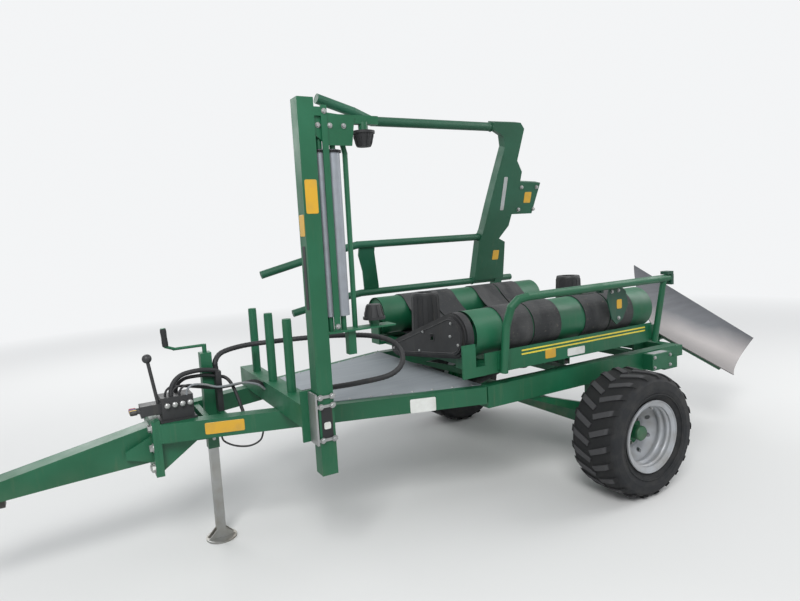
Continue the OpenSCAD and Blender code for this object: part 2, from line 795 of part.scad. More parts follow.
module tip_barrel() {
  p = [680, 0, 545];
  q = [-100, 0, 752];
  color(c_black) difference() {
    barrel_x(p, q, 560, 34) cyl_y([680, -24, 545], 48, 26);
    cyl_y([680, -30, 545], 60, 12.05);
  }
}
module tip_rod() {
  p = [680, 0, 545];
  q = [-100, 0, 752];
  n = norm(q - p);
  u = (q - p) / n;
  color(c_steel) {
    rod(p + 330 * u, p + (n - 20) * u, 17);
    rod(p + 330 * u, p + 360 * u, 25.5);
    difference() {
      cyl_y([-100, -14, 752], 28, 28);
      cyl_y([-100, -20, 752], 40, 12.5);
    }
  }
}

/* rear chute */
chute_a = [-862, 511, 818];
chute_e = [-1236, -22, 1293];
chute_b = [-1300, 812, 490];
chute_c = [-1990, 560, 640];
chute_n = cross(chute_b - chute_a, chute_e - chute_a);
chute_up = chute_n / norm(chute_n) * (chute_n[2] < 0 ? -1 : 1);
// point of the chute's lower face: a runs from front to rear, b across its trough
function chute_at(a, b) = (1 - a) * ((1 - b) * chute_a + b * chute_e)
  + a * ((1 - b) * chute_b + b * chute_c) - chute_up * 4 * 70 * b * (1 - b);
module chute() {
  m = 8;
  k = 8;
  w = k + 1;
  q = (m + 1) * w;
  low = [for (i = [0 : m]) for (j = [0 : k]) chute_at(i / m, j / k)];
  high = [for (v = low) v + chute_up * chute_t];
  tris = [for (i = [0 : m - 1]) for (j = [0 : k - 1]) let(v = i * w + j)
    each [[v, v + w + 1, v + w], [v, v + 1, v + w + 1],
      [q + v, q + v + w, q + v + w + 1], [q + v, q + v + w + 1, q + v + 1]]];
  e1 = [for (j = [0 : k - 1]) each [[j, q + j, q + j + 1], [j, q + j + 1, j + 1]]];
  e2 = [for (j = [0 : k - 1]) let(v = m * w + j)
    each [[v, v + 1, q + v + 1], [v, q + v + 1, q + v]]];
  e3 = [for (i = [0 : m - 1]) let(v = i * w) each [[v, v + w, q + v + w], [v, q + v + w, q + v]]];
  e4 = [for (i = [0 : m - 1]) let(v = i * w + k)
    each [[v, q + v, q + v + w], [v, q + v + w, v + w]]];
  color(c_steel) polyhedron(concat(high, low), concat(tris, e1, e2, e3, e4));
}
module chute_frame() {
  r = 18;
  down = chute_up * (r + 1);
  color(c_green) {
    box([-870, rail_rear], [-120, rail_y + rail_w / 2], [690, 765]);
    // round arms that run under the sheet, along its straight lines
    for (b = [0.1, 0.5]) {
      rod(chute_at(0.08, b) - down, chute_at(0.85, b) - down, r);
      translate(chute_at(0.08, b) - down) sphere(r = r + 0.6);
    }
    rod(chute_at(0.08, 0.1) - down, [-840, 480, 728], r);
    rod(chute_at(0.08, 0.5) - down, [-840, 200, 728], r);
    rod(chute_at(0.45, 0.5) - down, [-840, 300, 715], r);
  }
}
module rear_box() {
  color(c_green) {
    box([-640, -440], [rail_y + rail_w / 2, 770], [655, 765]);
    box([-780, -640], [rail_y + rail_w / 2, 712], [620, 700]);
  }
}

/* sheet that covers the A-frame between the table and the reel rack */
module deck() {
  x0 = rail_front + 7;
  x1 = beam_x - 52;
  function side(x, n) = leg_y1 - (x - rail_front) * tan(leg_a) - n;
  color(c_steel) {
    plate_z(rail_top, deck_t) polygon([[x0, side(x0, 15)], [x0, -side(x0, 15)],
      [x1, -side(x1, 15)], [x1, side(x1, 15)]]);
    // lips folded down between the legs
    for (x = [x0, x1 - deck_t]) {
      box([x, x + deck_t], [-side(x, 56), side(x, 56)], [rail_top - 22, rail_top]);
    }
  }
}

/* free hose from the valves to the table, in a wide loop */
hose_pts = [[2284, 15, 985], [2281, 10, 1030], [2230, -30, 1065], [2100, -60, 1080],
  [1930, -30, 1085], [1760, 60, 1095], [1610, 220, 1110], [1490, 410, 1115], [1435, 570, 1085],
  [1435, 640, 1005], [1510, 640, 940], [1660, 560, 905], [1820, 420, 870], [1900, 350, 850],
  [1945, 320, 840]];
hose_r = 15;
function hose_curve(k, t) = let(n = len(hose_pts) - 1, b = hose_pts[k], c = hose_pts[k + 1],
  a = k > 0 ? hose_pts[k - 1] : b, d = k < n - 1 ? hose_pts[k + 2] : c)
  0.5 * (2 * b + (c - a) * t + (2 * a - 5 * b + 4 * c - d) * t * t
    + (3 * b - a - 3 * c + d) * t * t * t);
module hose_loop() {
  m = 3;
  k = 10;
  n = len(hose_pts) - 1;
  path = concat([for (i = [0 : n - 1]) for (j = [0 : m - 1]) hose_curve(i, j / m)],
    [hose_pts[n]]);
  h = len(path) - 1;
  ref = [0.6, 0.8, 0.1];
  pts = [for (i = [0 : h]) let(
    t0 = i == 0 ? [0, 0, 1] : i == h ? [1, 0, 0] : path[i + 1] - path[i - 1],
    t = t0 / norm(t0), e0 = cross(t, ref), e1 = e0 / norm(e0), e2 = cross(t, e1))
    for (j = [0 : k - 1]) path[i] + hose_r * (cos(j * 360 / k) * e1 + sin(j * 360 / k) * e2)];
  sides = [for (i = [0 : h - 1]) for (j = [0 : k - 1])
    let(v = i * k + j, w = i * k + (j + 1) % k) each [[v, v + k, w + k], [v, w + k, w]]];
  ends = [[for (j = [0 : k - 1]) j], [for (j = [0 : k - 1]) h * k + k - 1 - j]];
  color(c_black) polyhedron(pts, concat(sides, ends));
}

module at_origin() {
  translate([ox, oy, 0]) children();
}
at_origin() drawbar();
at_origin() tow_eye();
at_origin() a_frame();
at_origin() chassis_rails();
at_origin() axle();
at_origin() tyre(1);  // tyre_left
at_origin() rim(1);  // rim_left
at_origin() tyre(-1);  // tyre_right
at_origin() rim(-1);  // rim_right
at_origin() jack_tube();
at_origin() jack_leg();
at_origin() rack_beam();
at_origin() reel_posts();
at_origin() mast_clamp();
at_origin() mast();
at_origin() film_frame();
at_origin() film_roller_large();
at_origin() film_roller_small();
at_origin() reel_cone_low();
at_origin() reel_cone_top();
at_origin() valve_block();
at_origin() tip_frame();
at_origin() slew_ring();
at_origin() table_frame();
at_origin() roller(1);  // roller_left
at_origin() roller(-1);  // roller_right
at_origin() belts_front();
at_origin() belts_rear();
at_origin() cone(1);  // cone_front
at_origin() cone(-1);  // cone_rear
at_origin() chain_guard();
at_origin() table_motor();
at_origin() guard_rail();
at_origin() film_cutter();
at_origin() loader_lugs();
at_origin() loader_arm();
at_origin() fork_outer();
at_origin() fork_inner();
at_origin() fork_low();
at_origin() loader_barrel();
at_origin() loader_rod();
at_origin() tip_barrel();
at_origin() tip_rod();
at_origin() chute();
at_origin() chute_frame();
at_origin() rear_box();
at_origin() deck();
at_origin() hose_loop();
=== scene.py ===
"""Looks of a trailed round bale wrapper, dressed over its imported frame. Metres, +X forward."""
import math
import bmesh
import bpy
import numpy as np
from mathutils import Matrix


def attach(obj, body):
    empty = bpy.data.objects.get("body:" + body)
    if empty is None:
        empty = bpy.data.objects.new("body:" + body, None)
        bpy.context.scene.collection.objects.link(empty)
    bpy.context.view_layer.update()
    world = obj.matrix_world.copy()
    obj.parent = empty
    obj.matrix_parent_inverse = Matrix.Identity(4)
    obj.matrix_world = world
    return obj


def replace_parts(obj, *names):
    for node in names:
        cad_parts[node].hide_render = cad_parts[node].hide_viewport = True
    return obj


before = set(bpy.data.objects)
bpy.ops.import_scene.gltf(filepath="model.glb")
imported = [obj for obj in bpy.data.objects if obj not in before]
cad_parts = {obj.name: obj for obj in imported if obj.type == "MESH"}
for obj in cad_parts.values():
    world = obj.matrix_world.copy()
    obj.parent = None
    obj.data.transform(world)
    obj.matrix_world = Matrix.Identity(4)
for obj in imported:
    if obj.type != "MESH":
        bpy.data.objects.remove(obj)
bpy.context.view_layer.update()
box_middle = np.array([882.3, -28.2, 0.0])


def at(x, y, z):
    """A place in millimetres from the floor under the axle's middle, as a point of the frame."""
    return (np.array([x, y, z]) - box_middle) / 1000


# Green shell paint.
# Sprayed farm green over welded steel: a little uneven, sun-bleached in broad patches,
# dusty low down and in thin rain streaks, with the finest orange peel.
def tree_of(name, **sockets):
    """An empty Principled material with constant values set on the shader's own sockets."""
    m = bpy.data.materials.new(name)
    m.use_nodes = True
    t = m.node_tree
    shader = t.nodes["Principled BSDF"]
    for key, value in sockets.items():
        shader.inputs[key.replace("_", " ")].default_value = value
    return m, t, shader


def hue(r, g, b):
    """Linear colour of an sRGB triple in 0 to 255: ((c + 0.055) / 1.055) to the power 2.4."""
    c = np.array([r, g, b]) / 255.0
    low = c / 12.92
    high = ((c + 0.055) / 1.055) ** 2.4
    return tuple(np.where(c <= 0.04045, low, high)) + (1.0,)


def feed(t, value, socket):
    """Links a socket to a socket, or sets it to a constant."""
    if isinstance(value, (int, float, tuple)):
        socket.default_value = value
    else:
        t.links.new(value, socket)


def cloud(t, scale, detail, stretch=(1, 1, 1)):
    """Noise in the frame's own metres, stretched along an axis by a Mapping node."""
    place = t.nodes.new("ShaderNodeTexCoord")
    mapping = t.nodes.new("ShaderNodeMapping")
    mapping.inputs["Scale"].default_value = stretch
    noise = t.nodes.new("ShaderNodeTexNoise")
    noise.inputs["Scale"].default_value = scale
    noise.inputs["Detail"].default_value = detail
    t.links.new(place.outputs["Object"], mapping.inputs["Vector"])
    t.links.new(mapping.outputs["Vector"], noise.inputs["Vector"])
    return noise.outputs["Fac"]


def band(t, source, low, high, reach=1.0):
    """Source taken from 0 at low to reach at high, held outside those ends."""
    ramp = t.nodes.new("ShaderNodeMapRange")
    ramp.inputs["From Min"].default_value = low
    ramp.inputs["From Max"].default_value = high
    ramp.inputs["To Max"].default_value = reach
    t.links.new(source, ramp.inputs["Value"])
    return ramp.outputs["Result"]


def mixed(t, share, first, second):
    """Colour first blended to second by a share socket; either may be a tuple or a socket."""
    mix = t.nodes.new("ShaderNodeMix")
    mix.data_type = "RGBA"
    for socket, value in ((mix.inputs["Factor"], share), (mix.inputs[6], first),
                          (mix.inputs[7], second)):
        feed(t, value, socket)
    return mix.outputs[2]


def maths(t, operation, *values):
    """Result of a Math node fed by sockets or numbers."""
    node = t.nodes.new("ShaderNodeMath")
    node.operation = operation
    for value, socket in zip(values, node.inputs):
        feed(t, value, socket)
    return node.outputs[0]


def coordinate(t, axis):
    """One coordinate of the point on the object, in metres."""
    place = t.nodes.new("ShaderNodeTexCoord")
    split = t.nodes.new("ShaderNodeSeparateXYZ")
    t.links.new(place.outputs["Object"], split.inputs["Vector"])
    return split.outputs[axis]


def grain(t, shader, source, strength, distance):
    """Fine relief from a height socket."""
    bump = t.nodes.new("ShaderNodeBump")
    bump.inputs["Strength"].default_value = strength
    bump.inputs["Distance"].default_value = distance
    t.links.new(source, bump.inputs["Height"])
    t.links.new(bump.outputs["Normal"], shader.inputs["Normal"])


dust_brown = hue(122, 112, 92)


def weathered(t, colour, pale, dust=0.55):
    """Colour with broad bleached patches and dust that thickens from 0.62 m to the floor."""
    bleached = mixed(t, band(t, cloud(t, 2.6, 5.0), 0.42, 0.72, 0.55), colour, pale)
    height = coordinate(t, "Z")
    streaks = maths(t, "MULTIPLY", band(t, cloud(t, 34.0, 3.0, (1, 1, 0.12)), 0.58, 0.80, 0.14),
                    band(t, height, 2.4, 0.5))
    streaked = mixed(t, streaks, bleached, dust_brown)
    low = maths(t, "MULTIPLY", band(t, height, 0.62, 0.12, dust),
                band(t, cloud(t, 9.0, 6.0), 0.35, 0.62))
    return mixed(t, low, streaked, dust_brown)


def paint(name, colour, pale, roughness=0.38, metallic=0.0, **dirt):
    """Weathered coat with orange peel and uneven gloss."""
    m, t, shader = tree_of(name, Metallic=metallic)
    t.links.new(weathered(t, colour, pale, **dirt), shader.inputs["Base Color"])
    uneven = maths(t, "ADD", band(t, cloud(t, 6.0, 5.0), 0.3, 0.75, 0.22), roughness)
    t.links.new(uneven, shader.inputs["Roughness"])
    grain(t, shader, cloud(t, 420.0, 2.0), 0.10, 0.0006)
    return m


shell_green = paint("shell_green", hue(9, 82, 52), hue(34, 106, 76))
arm_green = paint("arm_green", hue(8, 72, 48), hue(28, 94, 70), 0.42)


def dress(material, *nodes):
    """Gives CAD nodes their finish by their own material slots."""
    for node in nodes:
        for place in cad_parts[node].material_slots:
            place.material = material


dress(shell_green, "drawbar", "a_frame", "chassis_rails", "axle", "rack_beam", "reel_posts",
      "mast", "film_frame", "jack_tube", "tip_frame", "table_frame", "roller_left",
      "roller_right", "guard_rail", "chute_frame", "rear_box", "loader_lugs")
dress(arm_green, "loader_arm", "fork_outer", "fork_inner", "fork_low")


# Black fittings and bare metal.
# Tow eye, valves, motor and cylinders are satin black; pins, clamps, the jack's foot and
# the rods are zinc plated or ground steel, with a little rust where they rub.
black_coat = paint("black_coat", hue(30, 31, 33), hue(58, 59, 60), 0.45)
moulded_black = paint("moulded_black", hue(24, 25, 27), hue(46, 47, 49), 0.52, dust=0.4)
zinc = paint("zinc", hue(158, 160, 160), hue(182, 182, 178), 0.34, 0.85)
worn_steel = paint("worn_steel", hue(120, 112, 104), hue(134, 96, 66), 0.5, 0.6)
dress(black_coat, "tow_eye", "valve_block", "table_motor", "loader_barrel", "tip_barrel")
dress(moulded_black, "reel_cone_low", "reel_cone_top", "cone_front", "cone_rear",
      "chain_guard")
dress(zinc, "jack_leg", "mast_clamp", "slew_ring", "loader_rod", "tip_rod")
dress(paint("cutter_green", hue(16, 62, 46), hue(40, 84, 66)), "film_cutter")


# Hexagon bolts on the drawbar's flange.
# Plated screws with washers clamp the drawbar to the A-frame's nose plate and hold the tow eye;
# every later row of bolts on the machine uses the same turned head.
tau = 2 * math.pi


def put(name, parts, material, body, smooth=None):
    """One mesh from (points, faces) pairs, joined, closed faces turned outwards, riding a body."""
    verts = []
    faces = []
    start = 0
    for points, polygons in parts:
        verts.append(np.asarray(points, dtype=np.float64).reshape(-1, 3))
        faces.extend((np.asarray(f) + start).tolist() for f in polygons)
        start += len(verts[-1])
    mesh = bpy.data.meshes.new(name)
    mesh.from_pydata(np.concatenate(verts).tolist(), [], faces)
    work = bmesh.new()
    work.from_mesh(mesh)
    bmesh.ops.remove_doubles(work, verts=work.verts, dist=1e-6)
    bmesh.ops.recalc_face_normals(work, faces=work.faces)
    work.to_mesh(mesh)
    work.free()
    if smooth is not None:
        mesh.polygons.foreach_set("use_smooth", np.ones(len(mesh.polygons), dtype=bool))
        mesh.set_sharp_from_angle(angle=math.radians(smooth))
    mesh.materials.append(material)
    piece = bpy.data.objects.new(name, mesh)
    bpy.context.scene.collection.objects.link(piece)
    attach(piece, body)
    return piece


def square_to(axis):
    """Two unit vectors square to an axis and to each other."""
    axis = np.asarray(axis, dtype=float)
    axis = axis / np.linalg.norm(axis)
    helper = np.array([0.0, 0.0, 1.0]) if abs(axis[2]) < 0.9 else np.array([1.0, 0.0, 0.0])
    first = np.cross(helper, axis)
    first = first / np.linalg.norm(first)
    return axis, first, np.cross(axis, first)


def grid_faces(rows, columns, wrap):
    """Quads of a grid of points, closed round its columns when wrap is true."""
    i, j = np.meshgrid(np.arange(rows - 1), np.arange(columns if wrap else columns - 1),
                       indexing="ij")
    k = (j + 1) % columns
    return np.stack([i * columns + j, i * columns + k, (i + 1) * columns + k,
                     (i + 1) * columns + j], -1).reshape(-1, 4)


def tube_faces(rows, columns):
    """Quads of a grid closed round its columns, and a polygon over each end."""
    return grid_faces(rows, columns, True).tolist() + [
        list(range(columns)), list(range((rows - 1) * columns, rows * columns))]


def circle(u, v, sides, turn=0.0):
    """Points of the unit circle cos t u + sin t v, one a row."""
    angle = turn + np.arange(sides) * tau / sides
    return np.cos(angle)[:, None] * u + np.sin(angle)[:, None] * v


def turned(place, axis, profile, sides, turn=0.0):
    """Profile of (radius, height) turned round an axis: p + h a + r (cos t u + sin t v)."""
    axis, u, v = square_to(axis)
    radius, height = np.array(profile, dtype=float).T[:, :, None, None]
    points = np.asarray(place) + height * axis + radius * circle(u, v, sides, turn)
    return points, tube_faces(len(profile), sides)


def bolts(name, places, axis, body, radius):
    """A row of screws of that thread radius: each a washer and a chamfered hexagon head."""
    r = radius
    washer = [(2.1 * r, -0.001), (2.1 * r, 0.28 * r), (r, 0.28 * r)]
    head = [(1.65 * r, 0.0), (1.65 * r, 1.35 * r), (1.3 * r, 1.6 * r), (0.5 * r, 1.62 * r)]
    parts = []
    for k, place in enumerate(places):
        parts += [turned(place, axis, washer, 16), turned(place, axis, head, 6, 0.4 * k)]
    put(name, parts, zinc, body)


bolts("flange_bolts", [at(2660, s * y, z) for s in (1, -1) for y, z in
                       ((142, 540), (142, 650), (142, 755), (95, 530))],
      (1, 0, 0), "chassis", 0.012)
bolts("tow_bolts", [at(x, y, 506) for x in (3370, 3430, 3490) for y in (-38, 38)],
      (0, 0, 1), "chassis", 0.009)


# Bare name places and warning plates.
# Thin enamelled plates with rounded corners, glued or riveted on; all of them are blank.
def rounded(width, height, radius):
    """Outline of a rectangle with quarter circles for corners, as an array of points."""
    x = width / 2 - radius
    y = height / 2 - radius
    quarter = np.linspace(0, tau / 4, 5)
    a = np.concatenate([quarter + k * tau / 4 for k in range(4)])
    corners = np.repeat([(x, y), (-x, y), (-x, -y), (x, -y)], 5, axis=0)
    return corners + radius * np.stack([np.cos(a), np.sin(a)], 1)


def plate(centre, across, normal, width, height, thick=0.0016, radius=0.008):
    """Rounded plate: its outline in the plane square to normal, at two heights and a bevel."""
    normal = np.asarray(normal, dtype=float) / np.linalg.norm(normal)
    across = np.asarray(across, dtype=float)
    across = across - normal * np.dot(across, normal)
    across = across / np.linalg.norm(across)
    up = np.cross(normal, across)
    edge = rounded(width, height, radius)
    inner = rounded(width - thick, height - thick, radius)
    rows = [(edge, 0.0), (edge, 0.7 * thick), (inner, thick)]
    points = np.stack([np.asarray(centre) + o[:, :1] * across + o[:, 1:] * up + h * normal
                       for o, h in rows])
    return points, tube_faces(3, len(edge))


def enamel(name, colour, roughness=0.35):
    """Thin printed enamel, faintly dusty."""
    m, t, shader = tree_of(name, Roughness=roughness)
    t.links.new(mixed(t, band(t, cloud(t, 14.0, 5.0), 0.45, 0.8, 0.35), colour, dust_brown),
                shader.inputs["Base Color"])
    return m


warning_yellow = enamel("warning_yellow", hue(205, 158, 42))
stripe_yellow = enamel("stripe_yellow", hue(222, 202, 60))
label_white = enamel("label_white", hue(214, 216, 212))
label_grey = enamel("label_grey", hue(166, 170, 170))
leg_turn = math.atan2(528, 1735)
leg_along = np.array([math.cos(leg_turn), -math.sin(leg_turn), 0])
leg_out = np.array([math.sin(leg_turn), math.cos(leg_turn), 0])


def leg_middle(x):
    """Distance of a leg's middle line from the machine's, that far ahead of the axle."""
    return 654 - (x - 905) * math.tan(leg_turn)


def on_leg(x, z):
    """A point just off the outer face of the left A-frame leg."""
    return at(x, leg_middle(x), z) + leg_out * 0.0402


put("leg_plate", [plate(on_leg(2305, 725), leg_along, leg_out, 0.20, 0.062)],
    warning_yellow, "chassis")
put("leg_label", [plate(on_leg(1272, 712), leg_along, leg_out, 0.150, 0.080)],
    label_white, "chassis")


# Weld beads where the legs, the flange and the cross-members meet.
# Each is a rounded fillet of laid metal, rippled along its run, under the same paint.
def bead(start, end, radius=0.005):
    """Round bar from start to end whose radius swells by a sine of the distance along it."""
    length = np.linalg.norm(end - start)
    rows = max(6, int(length / 0.006))
    axis, u, v = square_to(end - start)
    run = np.linspace(0, length, rows)
    r = radius * (1 + 0.16 * np.sin(tau * run / 0.011))
    r[0] = r[-1] = radius * 0.35
    points = start + run[:, None, None] * axis + r[:, None, None] * circle(u, v, 8)
    return points, tube_faces(rows, 8)


beads = []
for s in (1, -1):
    beads += [bead(at(2620, s * 170, 673), at(2620, s * 170, 773)),
              bead(at(907, s * 613, 773), at(907, s * 689, 773)),
              bead(at(1230, s * 498, 733), at(1290, s * 480, 733)),
              bead(at(2660, s * 62, 551), at(2660, s * 62, 745)),
              bead(at(1945, s * 305, 773), at(2045, s * 275, 773)),
              bead(at(-700, s * 609, 690), at(-700, s * 609, 645)),
              bead(at(20, s * 609, 645), at(20, s * 609, 688)),
              bead(at(45, s * 614, 426), at(45, s * 684, 426))]
put("weld_beads", beads, shell_green, "chassis", 60)


# Wheels: painted disc, tyre and hub.
# Silver rims with pressed steps and a green hub; wide flotation tyres whose lugs are in the
# frame, with moulded rings on the sidewalls; eight nuts, a grease cap and a valve on each.
wheel_y = 956
wheel_z = 385


def round_axle(t):
    """Distance from the wheels' axis, from centred X and Z coordinates."""
    place = t.nodes.new("ShaderNodeTexCoord")
    mapping = t.nodes.new("ShaderNodeMapping")
    mapping.inputs["Location"].default_value = tuple(-at(0, 0, wheel_z))
    flat = t.nodes.new("ShaderNodeVectorMath")
    flat.operation = "MULTIPLY"
    flat.inputs[1].default_value = (1, 0, 1)
    size = t.nodes.new("ShaderNodeVectorMath")
    size.operation = "LENGTH"
    t.links.new(place.outputs["Object"], mapping.inputs["Vector"])
    t.links.new(mapping.outputs["Vector"], flat.inputs[0])
    t.links.new(flat.outputs["Vector"], size.inputs[0])
    return size.outputs["Value"]


def rim_finish(name):
    """Silver wheel, green within the hub's radius, dusty in broad clouds."""
    m, t, shader = tree_of(name, Roughness=0.42, Metallic=0.25)
    hub = band(t, round_axle(t), 0.1025, 0.1005)
    silver = mixed(t, band(t, cloud(t, 12.0, 6.0), 0.42, 0.75, 0.5), hue(166, 169, 173),
                   hue(132, 128, 120))
    t.links.new(mixed(t, hub, silver, hue(16, 96, 58)), shader.inputs["Base Color"])
    grain(t, shader, cloud(t, 300.0, 2.0), 0.12, 0.0006)
    return m


def sine(t, source, rate):
    """Sine of a socket, by a rate in radians a metre."""
    return maths(t, "SINE", maths(t, "MULTIPLY", source, rate))


def tyre_finish(name):
    """Dark rubber with painted shade near black in the grooves, rubbed grey on the lugs, ringed on
    the sidewalls.
    """
    m, t, shader = tree_of(name, Roughness=0.86)
    radius = round_axle(t)
    dusty = mixed(t, band(t, cloud(t, 16.0, 7.0), 0.4, 0.72, 0.55), hue(27, 29, 32),
                  hue(56, 55, 53))
    # Painted shade: the tread between the lugs is darkened to near black.
    groove_shade = mixed(t, band(t, radius, 0.345, 0.368, 0.75), dusty, hue(14, 15, 17))
    worn = mixed(t, band(t, radius, 0.3765, 0.3800, 0.9), groove_shade, hue(66, 66, 68))
    t.links.new(worn, shader.inputs["Base Color"])
    wall = maths(t, "MULTIPLY", sine(t, radius, 900.0), band(t, radius, 0.325, 0.315))
    grain(t, shader, wall, 0.35, 0.0012)
    return m


def hoop(place, axis, profile, sides):
    """Turned profile whose two ends are left open."""
    points, faces = turned(place, axis, profile, sides)
    return points, faces[:-2]


nut = [(0.0165, 0), (0.0165, 0.010), (0.013, 0.012), (0.009, 0.013), (0.009, 0.024),
       (0.007, 0.026)]
hub_cap = [(0.045, 0), (0.046, 0.004), (0.046, 0.014), (0.041, 0.020), (0.024, 0.024),
           (0.004, 0.026)]
stem = [(0.005, 0), (0.005, 0.026), (0.0065, 0.027), (0.0065, 0.038), (0.002, 0.040)]
pressed = [[(0.1895, 0.094), (0.1815, 0.098), (0.1790, 0.104), (0.1790, 0.112),
            (0.1815, 0.118), (0.1895, 0.122)],
           [(0.1895, 0.044), (0.1760, 0.050), (0.1720, 0.058), (0.1720, 0.070),
            (0.1760, 0.077), (0.1895, 0.083)],
           [(0.2225, 0.1468), (0.2215, 0.1520), (0.2175, 0.1525), (0.2150, 0.1440)]]
moulded = [[(r - 0.004, wall - 0.0015), (r - 0.002, wall + high), (r + 0.002, wall + high),
            (r + 0.004, wall - 0.0015)]
           for r, wall, high in ((0.262, 0.1626, 0.0026), (0.296, 0.1666, 0.0008))]
stud_ring = 82
for side, word in ((1, "left"), (-1, "right")):
    body = "wheel_" + word
    rim = rim_finish("rim_silver_" + word)
    tyre = tyre_finish("tyre_rubber_" + word)
    dress(rim, "rim_" + word)
    dress(tyre, "tyre_" + word)
    out = (0, side, 0)
    put("wheel_nuts_" + word,
        [turned(at(stud_ring * math.cos(a), side * (wheel_y - 23),
                   wheel_z - side * stud_ring * math.sin(a)), out, nut, 6, a)
         for a in np.arange(8) * tau / 8], zinc, body)
    put("hub_cap_" + word, [turned(at(0, side * 1012, wheel_z), out, hub_cap, 40)],
        shell_green, body, 35)
    put("valve_" + word,
        [turned(at(0, side * 1066, wheel_z + 186), (0, side, -0.35), stem, 12)],
        zinc, body, 35)
    middle = at(0, side * wheel_y, wheel_z)
    put("rim_steps_" + word, [hoop(middle, out, ring, 96) for ring in pressed], rim, body,
        50)
    put("sidewall_rings_" + word, [hoop(middle, out, ring, 96) for ring in moulded], tyre,
        body, 50)


# Jack: winding grip and clip pin.
# A black moulded grip sits on the crank, and a plated pin goes through the tube.
grip = [(0.009, 0), (0.0155, 0.004), (0.0165, 0.020), (0.0150, 0.050), (0.0165, 0.085),
        (0.0150, 0.098), (0.006, 0.102)]
put("crank_grip", [turned(at(2533, 0, 1144), (5, 0, 102), grip, 24)], moulded_black,
    "chassis", 50)
put("jack_pin", [turned(at(2333, 46, 600), (0, -1, 0),
                        [(0.009, 0), (0.009, 0.006), (0.006, 0.008), (0.006, 0.088),
                         (0.003, 0.092)], 16)], zinc, "chassis", 40)


# Film mast: blank warning plates, strips, end cap and clamp bolts.
# Two yellow plates sit near the mast's top, one on its outer and one on its front face, with
# a black strip below; the clamps are pinched by plated bolts over a wear strip.
mast_x = 1950
mast_y = 745
put("mast_plates", [plate(at(mast_x, 785.2, 1875), (1, 0, 0), (0, 1, 0), 0.060, 0.155),
                    plate(at(1990.2, mast_y, 1745), (0, 1, 0), (1, 0, 0), 0.060, 0.100)],
    warning_yellow, "film_mast")
put("mast_strip", [plate(at(1990.2, mast_y, 1500), (0, 1, 0), (1, 0, 0), 0.034, 0.300)],
    moulded_black, "film_mast")
put("wear_strip", [plate(at(mast_x, 785.5, 804.5), (1, 0, 0), (0, 1, 0), 0.056, 0.150)],
    moulded_black, "chassis")
put("wear_label", [plate(at(mast_x, 787.1, 790), (1, 0, 0), (0, 1, 0), 0.034, 0.034)],
    label_white, "chassis")
put("mast_cap", [turned(at(mast_x, mast_y, 2313), (0, 0, 1),
                        [(0.0545, 0), (0.0545, 0.006), (0.050, 0.0082)], 4, tau / 8)],
    moulded_black, "film_mast")
bolts("clamp_bolts", [at(mast_x + x, 792.5, z) for z in (722, 887, 932) for x in (-30, 30)],
      (0, 1, 0), "chassis", 0.007)


# Film rollers, gears and reel cones.
# Ribbed aluminium rollers stretch the film between them; toothed nylon gears under the top
# arm couple the two, and ribbed black cones pinch the reel's core.
def ribbed_alu(name):
    """Dull turned aluminium, ringed by a sine along Z."""
    m, t, shader = tree_of(name, Metallic=0.35, Roughness=0.52)
    t.links.new(mixed(t, band(t, cloud(t, 20.0, 4.0), 0.4, 0.8, 0.4), hue(142, 147, 154),
                      hue(118, 120, 122)), shader.inputs["Base Color"])
    grain(t, shader, sine(t, coordinate(t, "Z"), 700.0), 0.15, 0.0008)
    return m


dress(ribbed_alu("roller_alu"), "film_roller_large", "film_roller_small")


def gear(place, radius, teeth, thick=0.012):
    """Disc square to Z whose rim swings in and out by a flattened cosine, one wave a tooth."""
    axis, u, v = square_to((0, 0, 1))
    steps = teeth * 8
    angle = np.arange(steps) * tau / steps
    r = radius + 0.0028 * np.clip(1.9 * np.cos(teeth * angle), -1, 1)
    ring = r[:, None] * circle(u, v, steps)
    rows = [(1.0, 0.0), (1.0, thick), (0.45, thick), (0.45, thick * 1.5), (0.3, thick * 1.5)]
    return np.stack([place + scale * ring + height * axis
                     for scale, height in rows]), tube_faces(len(rows), steps)


def ribs_round(x, y, low, high, foot, head, count, radius):
    """Beads up the side of a cone, from radius foot at height low to radius head at high."""
    return [bead(at(x + foot * math.cos(a), y + foot * math.sin(a), low),
                 at(x + head * math.cos(a), y + head * math.sin(a), high), radius)
            for a in np.arange(count) * tau / count]


reel_x = 1645
for word, x, radius, teeth in (("large", 1813, 0.0370, 26), ("small", 1880, 0.0250, 18)):
    put("stretch_gear_" + word, [gear(at(x, mast_y, 2078), radius, teeth)], moulded_black,
        "film_roller_" + word, 30)
for node, low, high in (("reel_cone_low", 1282, 1338), ("reel_cone_top", 2168, 2112)):
    put(node + "_ribs", ribs_round(reel_x, mast_y, low, high, 51.0, 36.0, 8, 0.0035),
        moulded_black, node, 60)
bolts("dispenser_bolts", [at(1861, mast_y + 39, z) for z in (1260, 2262)]
      + [at(x, mast_y + 26.5, 2200) for x in (1760, 1830, 1890)], (0, 1, 0), "film_mast", 0.006)


# Control valves and couplings.
# Turned spool ends stand out of both sides of the block, and four quick couplings at its nose
# wear coloured caps.
def swept(path, radius, sides):
    """Tube of a radius, or one a row, along a path: rings square to its central tangents."""
    path = np.asarray(path, dtype=float)
    tangent = np.gradient(path, axis=0)
    tangent /= np.linalg.norm(tangent, axis=1)[:, None]
    helper = np.array([0.37, -0.61, 0.70])
    first = np.cross(tangent, helper)
    first /= np.linalg.norm(first, axis=1)[:, None]
    second = np.cross(tangent, first)
    angle = np.arange(sides)[:, None] * tau / sides
    radius = np.broadcast_to(radius, len(path))
    points = path[:, None] + radius[:, None, None] * (
        np.cos(angle) * first[:, None] + np.sin(angle) * second[:, None])
    return points, tube_faces(len(path), sides)


